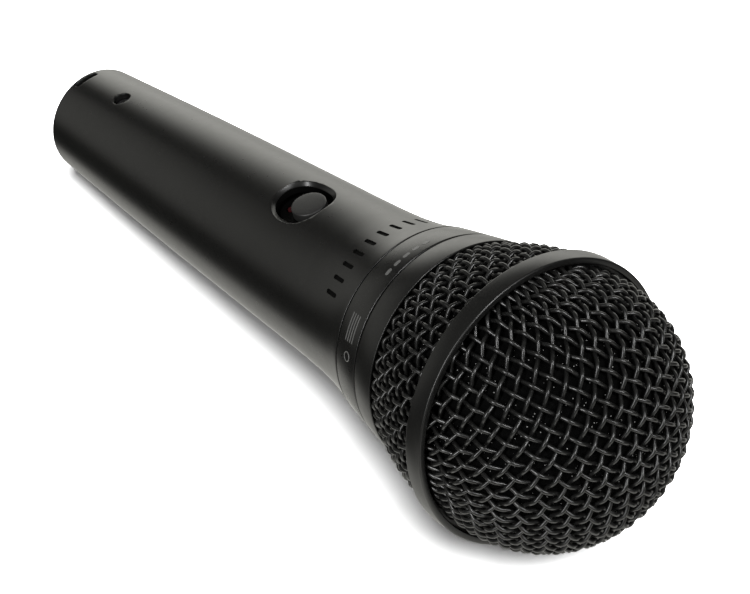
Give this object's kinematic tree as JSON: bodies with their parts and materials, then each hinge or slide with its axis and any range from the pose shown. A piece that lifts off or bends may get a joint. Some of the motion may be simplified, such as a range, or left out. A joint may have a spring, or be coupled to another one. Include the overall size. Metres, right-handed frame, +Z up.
{
  "type": "dynamic microphone",
  "caption": "Hand-held dynamic microphone with a woven-wire ball grille, tapered metal handle, sliding on/off switch and a recessed 3-pin tail connector.",
  "frame": {"origin": "bottom centre of the whole microphone's bounding box, as it lies on its side on a surface", "axes": "+X from tail to head, the longest extent (the microphone's own axis rises 6.0 degrees towards the head, because it lies on the rear edge of its grille band and on its tail rim); +Z up, the side with the switch; the XZ plane is the design's symmetry plane"},
  "size_m": [0.1704, 0.053, 0.0531],
  "materials": {
    "handle_paint": "matte powder coat",
    "ring_paint": "satin paint",
    "band_paint": "satin paint",
    "wire_black": "black painted woven wire",
    "foam_black": "open-cell foam",
    "insert_plastic": "moulded",
    "plated_contact": "plated",
    "screw_steel": "machined",
    "plate_plastic": "moulded",
    "mark_red": "printed red",
    "switch_metal": "folded can",
    "board_green": "solder mask",
    "mount_rubber": "moulded",
    "ring_brass": "turned",
    "lead_red": "insulation",
    "lead_black": "insulation",
    "lead_green": "insulation",
    "housing_plastic": "moulded",
    "diaphragm_film": "thin film",
    "coil_copper": "wound copper wire",
    "magnet_plated": "plated",
    "yoke_steel": "turned",
    "felt_grey": "felt",
    "button_plastic": "moulded",
    "lever_plastic": "moulded"
  },
  "bodies": {
    "handle": {"handle_shell": "handle_paint", "label_ring": "ring_paint", "xlr_insert": "insert_plastic", "xlr_pin_1": "plated_contact", "xlr_pin_2": "plated_contact", "xlr_pin_3": "plated_contact", "insert_set_screw": "screw_steel", "switch_plate": "plate_plastic", "switch_mark": "mark_red", "switch_body": "switch_metal", "switch_board": "board_green", "board_screw_1": "screw_steel", "board_screw_2": "screw_steel", "shock_mount": "mount_rubber", "mount_ring": "ring_brass", "lead_cartridge_hot": "lead_red", "lead_cartridge_cold": "lead_black", "lead_output_hot": "lead_red", "lead_output_cold": "lead_black", "lead_output_ground": "lead_green"},
    "cartridge": {"cartridge_housing": "housing_plastic", "resonator_cap": "housing_plastic", "diaphragm": "diaphragm_film", "diaphragm_ring": "housing_plastic", "voice_coil": "coil_copper", "magnet": "magnet_plated", "pole_piece": "yoke_steel", "magnet_yoke": "yoke_steel", "acoustic_felt": "felt_grey", "cartridge_terminal_hot": "plated_contact", "cartridge_terminal_cold": "plated_contact"},
    "switch": {"switch_button": "button_plastic", "switch_lever": "lever_plastic"},
    "grille": {"grille_collar": "band_paint", "lower_mesh": "wire_black", "grille_band": "band_paint", "dome_mesh": "wire_black", "foam_dome": "foam_black", "foam_sleeve": "foam_black"}
  },
  "joints": [
    {"name": "switch_slide", "type": "slide", "parent": "handle", "child": "switch", "axis": [-0.9945, 0, -0.1049], "range_m": [0, 0.0028]},
    {"name": "grille_unscrew", "type": "slide", "parent": "handle", "child": "grille", "axis": [0.9945, 0, 0.1049], "range_m": [0, 0.03]},
    {"name": "cartridge_float", "type": "slide", "parent": "handle", "child": "cartridge", "axis": [0.9945, 0, 0.1049], "range_m": [-0.0005, 0.0005], "stiffness_N_per_m": 4000}
  ]
}
